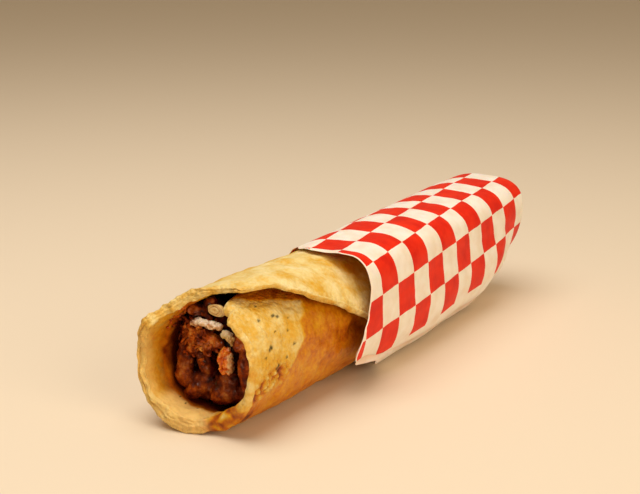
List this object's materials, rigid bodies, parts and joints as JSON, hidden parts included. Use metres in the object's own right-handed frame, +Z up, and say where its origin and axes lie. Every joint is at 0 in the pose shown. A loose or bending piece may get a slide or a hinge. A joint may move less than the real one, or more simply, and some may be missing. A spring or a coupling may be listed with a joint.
{
  "type": "chicken roll",
  "caption": "Flaky flatbread rolled round a dark chicken and onion filling, open at one end and half wrapped in red and white check paper.",
  "frame": {"origin": "under the middle of the roll, on the surface that it lies on", "axes": "+X along the roll, out of its open end; +Z up; +Y to the right of someone who looks into the open end"},
  "size_m": [0.2118, 0.058, 0.0503],
  "materials": {
    "bread": "pan-fried flaky dough, slightly oily",
    "paper": "thin waxed paper with a red and white check",
    "filling": "torn chicken in dark sauce, wet",
    "chicken": "roasted chicken, glossy with sauce",
    "onion": "soft cooked onion",
    "creamy_onion": "onion coated with pale sauce"
  },
  "bodies": {
    "root": {"flatbread": "bread", "paper_wrap": "paper", "chicken_filling": "filling", "chicken_chunk": "chicken", "onion_chunk": "onion", "onion_strip": "creamy_onion", "onion_slice": "onion"}
  },
  "joints": []
}
